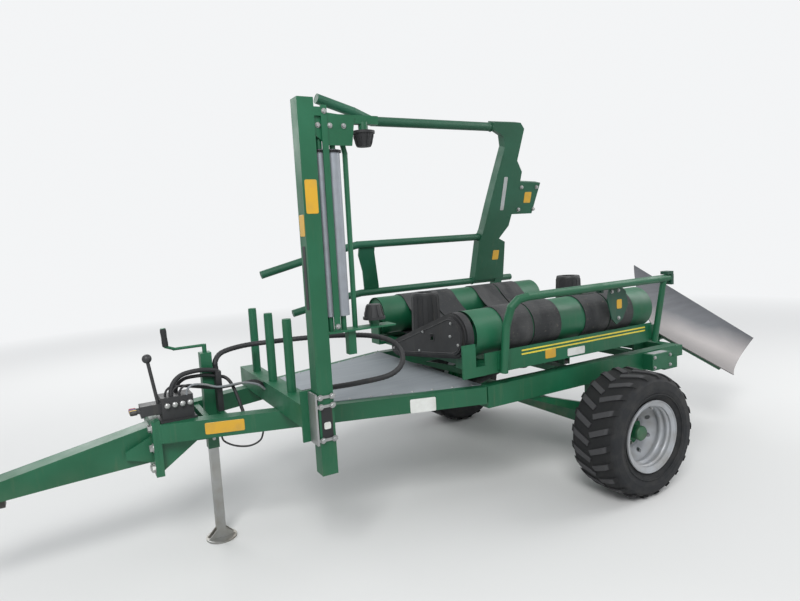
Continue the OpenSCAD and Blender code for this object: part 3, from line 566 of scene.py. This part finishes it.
def eased(points, steps=8):
    """Catmull-Rom curve: cubics whose end slopes join the neighbours of each point."""
    p = np.asarray(points, dtype=float)
    q = np.concatenate([p[:1], p, p[-1:]])
    t = (np.arange(steps) / steps)[:, None, None]
    a, b, c, d = q[:-3], q[1:-2], q[2:-1], q[3:]
    curve = 0.5 * (2 * b + (c - a) * t + (2 * a - 5 * b + 4 * c - d) * t ** 2
                   + (3 * b - a - 3 * c + d) * t ** 3)
    return np.concatenate([curve.transpose(1, 0, 2).reshape(-1, 3), p[-1:]])


spool_end = [(0.014, -0.002), (0.014, 0.020), (0.010, 0.024), (0.003, 0.025)]
spring_end = [(0.016, -0.002), (0.016, 0.030), (0.012, 0.034), (0.003, 0.035)]
spools = []
for x in range(2460, 2612, 38):
    spools += [turned(at(x, 140, 860), (0, 1, 0), spool_end, 20),
               turned(at(x, 20, 830), (0, -1, 0), spring_end, 20)]
put("valve_spools", spools, zinc, "chassis", 40)
collar = [(0.0105, 0), (0.0125, 0.002), (0.0125, 0.030), (0.0100, 0.034), (0.003, 0.035)]
cap_colours = (hue(150, 26, 24), hue(28, 60, 130), hue(196, 160, 30), hue(30, 31, 33))
for k, colour in enumerate(cap_colours):
    put("coupling_cap_%d" % k, [turned(at(2716, 50 + 20 * k, 842), (1, 0, 0), collar, 20)],
        enamel("cap_%d" % k, colour, 0.5), "chassis", 40)


# Hoses at the front: a thick arch from the valves to the jack's bracket, a bundle of four
# over the rack beam, one down to the leg and a cable slung under it.
def hose(name, points, radius, material, steps=12, wound=0.0):
    """Free hose through points: a swept tube, its radius swelling by a sine where it is wound."""
    path = eased([at(*p) for p in points], steps)
    run = np.concatenate([[0.0], np.cumsum(np.linalg.norm(np.diff(path, axis=0), axis=1))])
    size = radius + wound * np.sin(tau * run / 0.022)
    piece = put(name, [swept(path, size, 14 if wound else 10)], material, "chassis",
                80)
    return piece


pipe_grey = enamel("pipe_grey", hue(120, 124, 128), 0.4)
hose("hose_arch", [(2546, 108, 898), (2538, 100, 939), (2516, 90, 972), (2482, 82, 994),
                   (2442, 76, 1002), (2390, 72, 1004), (2340, 66, 998), (2292, 60, 984)],
     0.013, moulded_black)
hose("hose_short", [(2512, 52, 898), (2506, 51, 926), (2491, 50, 949), (2467, 50, 964),
                    (2440, 50, 970), (2390, 50, 970), (2340, 50, 966), (2301, 52, 955)],
     0.010, moulded_black)
for k in range(4):
    x = 2574 - 34 * k
    y = 100 + 13 * k
    hose("hose_bundle_%d" % k,
         [(x, y, 898), (x - 4, y, 920), (x - 18, y, 938), (x - 44, y, 946), (x - 100, y, 936),
          (2300, y, 896 + 5 * k), (2180, y - 6, 898 + 4 * k), (2120, y - 10, 903 - 2 * k),
          (2078, y - 13, 896 - 6 * k), (2046, y - 16, 872 - 8 * k)],
         0.0058, pipe_grey if k == 3 else moulded_black)
hose("hose_down", [(2272, 40, 944), (2250, 52, 940), (2229, 74, 919), (2215, 104, 880),
                   (2206, 136, 836), (2200, 170, 790), (2194, 200, 748), (2190, 222, 722)],
     0.0095, moulded_black)
hose("cable_sling", [(2330, 222, 674), (2318, 226, 634), (2262, 240, 600), (2190, 258, 590),
                     (2136, 274, 616), (2118, 284, 674)], 0.0050, moulded_black)


# Tipping frame and slewing bearing.
# The bearing is bolted down through its ring; two pressure ports stand on the slewing motor.
table_x = 213
ring_radius = 215
bolts("bearing_bolts", [at(table_x + ring_radius * math.cos(a), ring_radius * math.sin(a), 856.6)
                        for a in np.arange(12) * tau / 12 + 0.13], (0, 0, 1), "tip_frame",
      0.0022)
motor_port = [(0.010, -0.004), (0.010, 0.016), (0.007, 0.018), (0.007, 0.030)]
put("motor_ports", [turned(at(table_x + x, 230, 712), (0, 1, 0), motor_port, 6)
                    for x in (-18, 18)], zinc, "tip_frame")


# Belts: black rubberised bands round the two rollers.
# Woven rubber, grey where bales rub it in long smears, with pale dried spots.
def belt_finish():
    """Rubber with a fine cross weave by two sines, dusted grey in long smears along the run."""
    m, t, shader = tree_of("belt_rubber", Roughness=0.74)
    smear = band(t, cloud(t, 5.0, 6.0, (1.6, 0.35, 1)), 0.40, 0.74, 0.75)
    grey = mixed(t, smear, hue(34, 36, 38), hue(82, 82, 82))
    spots = band(t, cloud(t, 60.0, 4.0), 0.62, 0.74, 0.4)
    t.links.new(mixed(t, spots, grey, hue(108, 102, 90)), shader.inputs["Base Color"])
    weave = maths(t, "MULTIPLY", *(sine(t, coordinate(t, axis), 1500.0) for axis in "XY"))
    grain(t, shader, weave, 0.25, 0.0008)
    return m


dress(belt_finish(), "belts_front", "belts_rear")


# Side panels, stripes and roller bearings.
# Two thin yellow stripes run along each folded green panel, over two blank plates on the left
# one; flanged bearings carry the roller pins outside the rear end plate.
panel_y = 708.1
for side in (1, -1):
    stripes = [plate(at(110, side * panel_y, z), (1, 0, 0), (0, side, 0), 1.10, 0.009, 0.0008,
                     0.002) for z in (952, 930)]
    put("panel_stripes_" + ("left" if side > 0 else "right"), stripes, stripe_yellow,
        "turntable")
put("panel_label", [plate(at(212, panel_y, 884), (1, 0, 0), (0, 1, 0), 0.150, 0.048)],
    label_white, "turntable")
put("panel_sticker", [plate(at(430, panel_y, 900), (1, 0, 0), (0, 1, 0), 0.085, 0.055)],
    warning_yellow, "turntable")
roller_y = 550
roller_z = 1071
end_plate_x = table_x - 773
housing = [(0.056, -0.001), (0.056, 0.008), (0.042, 0.012), (0.040, 0.024), (0.034, 0.028),
           (0.018, 0.029)]
put("roller_bearings",
    [turned(at(end_plate_x, side * roller_y, roller_z), (-1, 0, 0), housing, 32)
     for side in (1, -1)], black_coat, "turntable", 40)
bolts("bearing_screws", [at(end_plate_x - 8, side * roller_y + 46 * math.cos(a),
                            roller_z + 46 * math.sin(a))
                         for side in (1, -1) for a in tau / 8 + np.arange(4) * tau / 4],
      (-1, 0, 0), "turntable", 0.0045)


# Table rollers: end hoops.
# Rolled steel tubes; a turned hoop stiffens each open end and carries rubbed bare metal.
roller_end = [(0.1315, 0.000), (0.1372, 0.000), (0.1378, 0.002), (0.1378, 0.012),
              (0.1315, 0.014)]
for side, word in ((1, "left"), (-1, "right")):
    put("roller_hoops_" + word,
        [hoop(at(table_x + end * 755, side * roller_y, roller_z), (-end, 0, 0), roller_end, 64)
         for end in (1, -1)], worn_steel, "roller_" + word, 40)


# End cones: ribs and pale recessed caps.
# Moulded black guides turn on pins; shallow ribs run up the side and a grey disc closes the
# top.
disc = [(0.0505, 0.0), (0.0505, 0.003), (0.038, 0.004), (0.030, 0.0075), (0.012, 0.009)]
for end, word in ((1, "front"), (-1, "rear")):
    x = table_x + end * 660
    put("cone_ribs_" + word, ribs_round(x, 0, 1000, 1255, 98.6, 89.6, 16, 0.003),
        moulded_black, "cone_" + word, 60)
    put("cone_cap_" + word, [turned(at(x, 0, 1260.5), (0, 0, 1), disc, 40)],
        enamel("cap_grey_" + word, hue(150, 152, 152), 0.5), "cone_" + word,
        40)


# Chain guard: screws, stiffening swage and the rolled edge of its hand hole.
# Moulded black cover over the roller chain; the swage follows its outline.
def around(pair_a, ra, pair_b, rb, steps=28):
    """Outline of two circles joined by outer tangents, as (y, z) points."""
    p = np.asarray(pair_a, dtype=float)
    q = np.asarray(pair_b, dtype=float)
    line = q - p
    a = math.atan2(line[1], line[0])
    b = math.acos((ra - rb) / np.linalg.norm(line))
    big = np.linspace(a + b, a - b + tau, steps)
    small = np.linspace(a - b, a + b, steps // 2)
    return np.concatenate([p + ra * np.stack([np.cos(big), np.sin(big)], 1),
                           q + rb * np.stack([np.cos(small), np.sin(small)], 1)])


edge = around((roller_y, roller_z), 99, (-130, 905), 22)
swage = np.stack([at(1057.4, y, z) for y, z in np.concatenate([edge, edge[:2]])])
put("guard_swage", [swept(swage, 0.0034, 8)], moulded_black, "turntable", 60)
hole = [(335, 1020), (375, 1020), (375, 1062), (335, 1062)]
put("guard_hole_rim", [bead(at(1058, *a), at(1058, *b), 0.003)
                       for a, b in zip(hole, hole[1:] + hole[:1])],
    moulded_black, "turntable", 60)
bolts("guard_screws", [at(1058.2, y, z) for y, z in ((roller_y, roller_z), (-130, 905),
                                                     (560, 1148), (628, 1030), (250, 1062),
                                                     (200, 935))],
      (1, 0, 0), "turntable", 0.0045)


# Film cutter on the guard rail.
# A coil spring works the leaf-shaped arm beside the rail; a blank yellow plate and pinch
# bolts sit on the arm, and a thin line follows the rail.
turns = 13
coil = [at(100 + 120 * k, 758 + 19 * math.cos(turns * tau * k),
           1262 + 19 * math.sin(turns * tau * k)) for k in np.linspace(0, 1, turns * 12)]
put("cutter_spring", [swept(coil, 0.0022, 6)], zinc, "turntable", 60)
put("cutter_patch", [plate(at(-128, 758.1, 1150), (1, 0, 0), (0, 1, 0), 0.046, 0.060)],
    warning_yellow, "turntable")
bolts("cutter_bolts", [at(x, 758.2, z) for x, z in ((-60, 1236), (-120, 1240), (-120, 1060))],
      (0, 1, 0), "turntable", 0.006)
line = eased([at(300, 779, 1262), at(420, 779, 1262), at(560, 776, 1266), at(668, 776, 1262),
              at(736, 772, 1240), at(772, 755, 1190), at(782, 734, 1100), at(790, 716, 990)])
put("cutter_line", [swept(line, 0.0045, 8)], moulded_black, "turntable", 60)


# Loading arm: blank plates, weld beads round its tubes, bolts and pin heads.
# Welded box arm with round lifting tubes, leaned 15 degrees inboard about its hinge, in whose
# upright frame the places are given; the name place on its rear edge strip is blank.
lean = math.radians(-15)
inward = np.array([0.0, math.cos(lean), math.sin(lean)])
reach = np.array([0.0, -math.sin(lean), math.cos(lean)])


def raised(x, across, up):
    """A point of the arm's upright frame, in millimetres from its hinge."""
    return at(x, -900, 600) + (across * inward + up * reach) / 1000


box_in = -367
put("arm_strip", [plate(raised(-560, box_in + 40.2, 1330), reach, inward, 0.30, 0.040)],
    label_grey, "loader")
put("arm_plates", [plate(raised(-850, box_in + 36.2, 1290), (1, 0, 0), inward, 0.08, 0.10),
                   plate(raised(-560, box_in + 40.2, 760), (1, 0, 0), inward, 0.07, 0.09)],
    warning_yellow, "loader")
a = np.linspace(0, tau, 60)
arm_beads = []
for x, up, r in ((-343, 1900, 0.0375), (-352, 932, 0.0315), (-348, 512, 0.0305)):
    loop = raised(x, box_in, up) + r * (np.cos(a)[:, None] * inward
                                        + np.sin(a)[:, None] * reach)
    arm_beads.append(swept(loop, 0.0045 * (1 + 0.15 * np.sin(40 * a)), 8))
put("arm_beads", arm_beads, arm_green, "loader", 60)
bolts("bracket_bolts", [raised(x, box_in + 36.4, up) for x in (-940, -760)
                        for up in (1180, 1385)], inward, "loader", 0.009)
pin_head = [(0.030, 0), (0.030, 0.008), (0.026, 0.011), (0.008, 0.012)]
put("loader_pin_heads", [turned(at(-640 + s * 66, -900, 600), (s, 0, 0), pin_head, 32)
                         for s in (1, -1)], zinc, "chassis", 40)
eye_pin = [(0.019, 0), (0.019, 0.006), (0.014, 0.008), (0.005, 0.009)]
put("arm_eye_pins", [turned(raised(-640 + s * 33.2, -11, -189), (s, 0, 0), eye_pin, 28)
                     for s in (1, -1)], zinc, "loader", 40)
put("tip_eye_pins", [turned(at(-100, s * 40.2, 752), (0, s, 0), eye_pin, 28)
                     for s in (1, -1)], zinc, "tip_frame", 40)


# Cylinders: glands and ports.
# Black barrels with a turned steel gland nut at the mouth and two line ports on top.
port = [(0.010, -0.004), (0.010, 0.012), (0.0075, 0.014), (0.0075, 0.026)]
for word, base, eye, side, length, r, rod in (
        ("loader", (-640, -250, 520), (-640, -960, 420), (1, 0, 0), 0.385, 0.030, 0.0153),
        ("tip", (680, 0, 545), (-100, 0, 752), (0, 1, 0), 0.560, 0.034, 0.0173)):
    base = at(*base)
    along = at(*eye) - base
    along /= np.linalg.norm(along)
    gland = [(r * 0.86, -0.026), (r * 1.05, -0.024), (r * 1.05, 0.004), (r * 0.85, 0.009),
             (rod + 0.002, 0.010), (rod + 0.0004, 0.006)]
    put(word + "_gland", [hoop(base + length * along, along, gland, 36)], worn_steel,
        word + "_barrel", 35)
    up = np.cross(along, side)
    up *= np.sign(up[2])
    put(word + "_ports", [turned(base + d * along + up * (r - 0.002), up, port, 6)
                          for d in (0.070, length - 0.050)], zinc, word + "_barrel")


# Chute: brushed galvanised sheet with a rolled lip.
# Dull zinc with brush marks along the sheet and a bright band by its low edge: painted highlight
# of the sheet's sheen, together with bare metal where bales slide; the lip is a rolled edge. The
# sheet follows the frame's own formula and corners, on a finer grid.
def galvanised_finish(name, dark, light, rough, metallic, polish_and_highlight=None):
    """Zinc with fine brush lines; polish_and_highlight adds a bright band, painted highlight and
    bare metal, that a socket spreads over it.
    """
    m, t, shader = tree_of(name, Metallic=metallic)
    brush = cloud(t, 9.0, 5.0, (0.35, 4.0, 4.0))
    tone = band(t, cloud(t, 0.9, 2.0), 0.35, 0.70, 0.7)
    lines = mixed(t, band(t, brush, 0.30, 0.74, 0.45), dark, light)
    coat = mixed(t, tone, lines, light)
    if polish_and_highlight is not None:
        # The bright steel tone laid here is a painted highlight, together with bare metal where it
        # is rubbed.
        coat = mixed(t, polish_and_highlight(t), coat, hue(132, 128, 127))
    t.links.new(coat, shader.inputs["Base Color"])
    t.links.new(maths(t, "MULTIPLY_ADD", brush, 0.10, rough), shader.inputs["Roughness"])
    grain(t, shader, brush, 0.04, 0.0005)
    return m


wing = np.array([[[-862, 511, 818], [-1236, -22, 1293]],
                 [[-1300, 812, 490], [-1990, 560, 640]]], dtype=float)
wing_up = np.cross(wing[1, 0] - wing[0, 0], wing[0, 1] - wing[0, 0])
wing_up *= np.sign(wing_up[2]) / np.linalg.norm(wing_up)


def trough(along, across, lift):
    """Bilinear patch of four corners, sunk by the parabola 280 b (1 - b), then lifted square."""
    a, b = (np.asarray(c, dtype=float)[..., None] for c in np.broadcast_arrays(along, across))
    flat = ((1 - a) * ((1 - b) * wing[0, 0] + b * wing[0, 1])
            + a * ((1 - b) * wing[1, 0] + b * wing[1, 1]))
    return (flat + wing_up * (lift - 280 * b * (1 - b)) - box_middle) / 1000


def bale_wear_and_painted_highlight(t):
    """Share of the bright band, painted highlight and bare metal where bales slide: full by the
    low edge, gone past mid-width.
    """
    over = wing[0, 1] - wing[0, 0]
    over /= np.linalg.norm(over)
    place = t.nodes.new("ShaderNodeTexCoord")
    across = t.nodes.new("ShaderNodeVectorMath")
    across.operation = "DOT_PRODUCT"
    across.inputs[1].default_value = tuple(over)
    t.links.new(place.outputs["Object"], across.inputs[0])
    low_edge = float(trough(0.0, 0.0, 0.0) @ over)
    ragged = maths(t, "MULTIPLY_ADD", cloud(t, 3.0, 4.0), 0.16, across.outputs["Value"])
    return band(t, ragged, low_edge + 0.50, low_edge + 0.26, 0.9)


# The chute's bright band by its low edge is painted highlight as well as bale wear.
galvanised = galvanised_finish("galvanised", hue(46, 48, 52), hue(78, 80, 84), 0.40, 0.7,
                               bale_wear_and_painted_highlight)
rows, columns = 33, 41
a = np.linspace(0.0, 1.0, rows)[:, None]
b = np.linspace(0.0, 1.0, columns)[None]
skin = np.concatenate([trough(a, b, 5.0), trough(a, b[:, ::-1], 0.0)], 1)
shut = [[j, j + 1, 2 * columns - 2 - j, 2 * columns - 1 - j] for j in range(columns - 1)]
ends = shut + [[v + (rows - 1) * 2 * columns for v in face] for face in shut]
near, far = 0.006, 0.994
lip_a = np.concatenate([np.full(40, near), np.linspace(near, far, 60), np.full(40, far),
                        np.linspace(far, near, 60)])
lip_b = np.concatenate([np.linspace(near, far, 40), np.full(60, far),
                        np.linspace(far, near, 40), np.full(60, near)])
sheet = put("chute_sheet", [(skin.reshape(-1, 3), grid_faces(rows, 2 * columns, True).tolist()
                             + ends)], galvanised, "chassis", 40)
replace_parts(sheet, "chute")
put("chute_lip", [swept(trough(lip_a, lip_b, 1.0), 0.0035, 8)], galvanised, "chassis",
    60)


# Deck sheet on the A-frame: flat zinc sheet, dull and dusty, with rivets along its edges.
# It lies on the two legs and is held by a row of dome heads on each.
deck_zinc = galvanised_finish("deck_zinc", hue(128, 134, 140), hue(166, 172, 176), 0.55, 0.35)
dress(deck_zinc, "deck")
dome = [(0.009, -0.001), (0.008, 0.003), (0.003, 0.005)]
put("deck_rivets", [turned(at(x, s * (leg_middle(x) - 27), 777), (0, 0, 1), dome, 12)
                    for x in range(960, 1881, 115) for s in (1, -1)],
    zinc, "chassis", 60)


# Rear tool box: grey plate and bolts.
# A small green steel box behind the wheel, with a grey blank plate on its lid.
put("box_plate", [plate(at(-540, 729, 765.1), (1, 0, 0), (0, 0, 1), 0.15, 0.055)],
    label_grey, "chassis")
bolts("box_bolts", [at(x, 770.2, z) for x in (-620, -460) for z in (675, 745)], (0, 1, 0),
      "chassis", 0.006)


# Hose loop to the table, in a spiral guard.
# Rubber hose in a wound black guard: one swept tube whose radius swells by a sine for the
# windings, along the route that the frame's plain tube takes.
route = [(2284, 15, 985), (2281, 10, 1030), (2230, -30, 1065), (2100, -60, 1080),
         (1930, -30, 1085), (1760, 60, 1095), (1610, 220, 1110), (1490, 410, 1115),
         (1435, 570, 1085), (1435, 640, 1005), (1510, 640, 940), (1660, 560, 905),
         (1820, 420, 870), (1900, 350, 850), (1945, 320, 840)]
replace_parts(hose("hose_guard", route, 0.0146, moulded_black, steps=36, wound=0.0004),
            "hose_loop")


# Floor, light and the photograph's camera.
# Pale ground, one broad key lamp and two fills; the camera stands ahead and to the left.
def pale(name, colour, backdrop, near, far):
    """Diffuse ground that fades to the backdrop's colour between two distances from its middle."""
    m = bpy.data.materials.new(name)
    m.use_nodes = True
    t = m.node_tree
    t.nodes.clear()
    out = t.nodes.new("ShaderNodeOutputMaterial")
    flat = t.nodes.new("ShaderNodeBsdfDiffuse")
    haze = t.nodes.new("ShaderNodeEmission")
    blend = t.nodes.new("ShaderNodeMixShader")
    seen_by = t.nodes.new("ShaderNodeLightPath")
    place = t.nodes.new("ShaderNodeTexCoord")
    away = t.nodes.new("ShaderNodeVectorMath")
    away.operation = "LENGTH"
    flat.inputs["Color"].default_value = colour
    haze.inputs["Color"].default_value = backdrop
    t.links.new(place.outputs["Object"], away.inputs[0])
    fade = maths(t, "MULTIPLY", band(t, away.outputs["Value"], near, far),
                 seen_by.outputs["Is Camera Ray"])
    t.links.new(fade, blend.inputs["Fac"])
    t.links.new(flat.outputs["BSDF"], blend.inputs[1])
    t.links.new(haze.outputs["Emission"], blend.inputs[2])
    t.links.new(blend.outputs["Shader"], out.inputs["Surface"])
    return m


backdrop_white = (0.90, 0.91, 0.92, 1)
bpy.ops.mesh.primitive_plane_add(size=60)
floor = bpy.context.object
floor.name = "floor"
floor.data.materials.append(pale("floor_pale", (0.72, 0.72, 0.71, 1), backdrop_white, 4.0, 10.5))

world = bpy.data.worlds.new("sky")
world.use_nodes = True
bpy.context.scene.world = world
tree = world.node_tree
tree.nodes.clear()
out = tree.nodes.new("ShaderNodeOutputWorld")
seen = tree.nodes.new("ShaderNodeBackground")
soft = tree.nodes.new("ShaderNodeBackground")
both = tree.nodes.new("ShaderNodeMixShader")
ray = tree.nodes.new("ShaderNodeLightPath").outputs
seen.inputs["Color"].default_value = backdrop_white
soft.inputs["Color"].default_value = (0.93, 0.96, 1.0, 1)
soft.inputs["Strength"].default_value = 0.55
tree.links.new(maths(tree, "MAXIMUM", ray["Is Camera Ray"], ray["Is Glossy Ray"]),
               both.inputs["Fac"])
tree.links.new(soft.outputs[0], both.inputs[1])
tree.links.new(seen.outputs[0], both.inputs[2])
tree.links.new(both.outputs[0], out.inputs["Surface"])


def posed(x, y, z, place):
    """Matrix whose columns are three axes and a place."""
    return Matrix([list(map(float, r)) + [float(p)]
                   for r, p in zip(np.stack([x, y, z], 1), place)] + [[0, 0, 0, 1]])


def lamp(name, place, aim, size, power):
    """Square area lamp at place, its -Z turned to aim."""
    data = bpy.data.lights.new(name, "AREA")
    data.size = size
    data.energy = power
    lit = bpy.data.objects.new(name, data)
    bpy.context.scene.collection.objects.link(lit)
    axis, u, v = square_to(np.subtract(place, aim))
    lit.matrix_world = posed(u, v, axis, place)


lamp("key", (4.0, 5.5, 6.5), (-0.4, 0, 0.9), 3.0, 470)
lamp("fill_rear", (-6.0, 2.0, 4.5), (-0.5, 0, 1.0), 4.0, 190)
lamp("fill_right", (2.0, -6.5, 4.5), (0, 0, 1.0), 4.0, 190)

yaw, pitch, roll = (math.radians(a) for a in (29.59, 6.82, 3.08))
ahead = np.array([-math.sin(yaw) * math.cos(pitch), -math.cos(yaw) * math.cos(pitch),
                  -math.sin(pitch)])
level = np.array([-math.cos(yaw), math.sin(yaw), 0.0])
down = np.cross(ahead, level)
right = math.cos(roll) * level + math.sin(roll) * down
below = -math.sin(roll) * level + math.cos(roll) * down
camera_data = bpy.data.cameras.new("photo_camera")
camera_data.lens = 27.0
camera_data.sensor_width = 36.0
camera = bpy.data.objects.new("photo_camera", camera_data)
bpy.context.scene.collection.objects.link(camera)
camera.matrix_world = posed(right, -below, -ahead, at(2998, 3399, 1708))
bpy.context.scene.camera = camera
bpy.context.scene.view_settings.view_transform = "Standard"
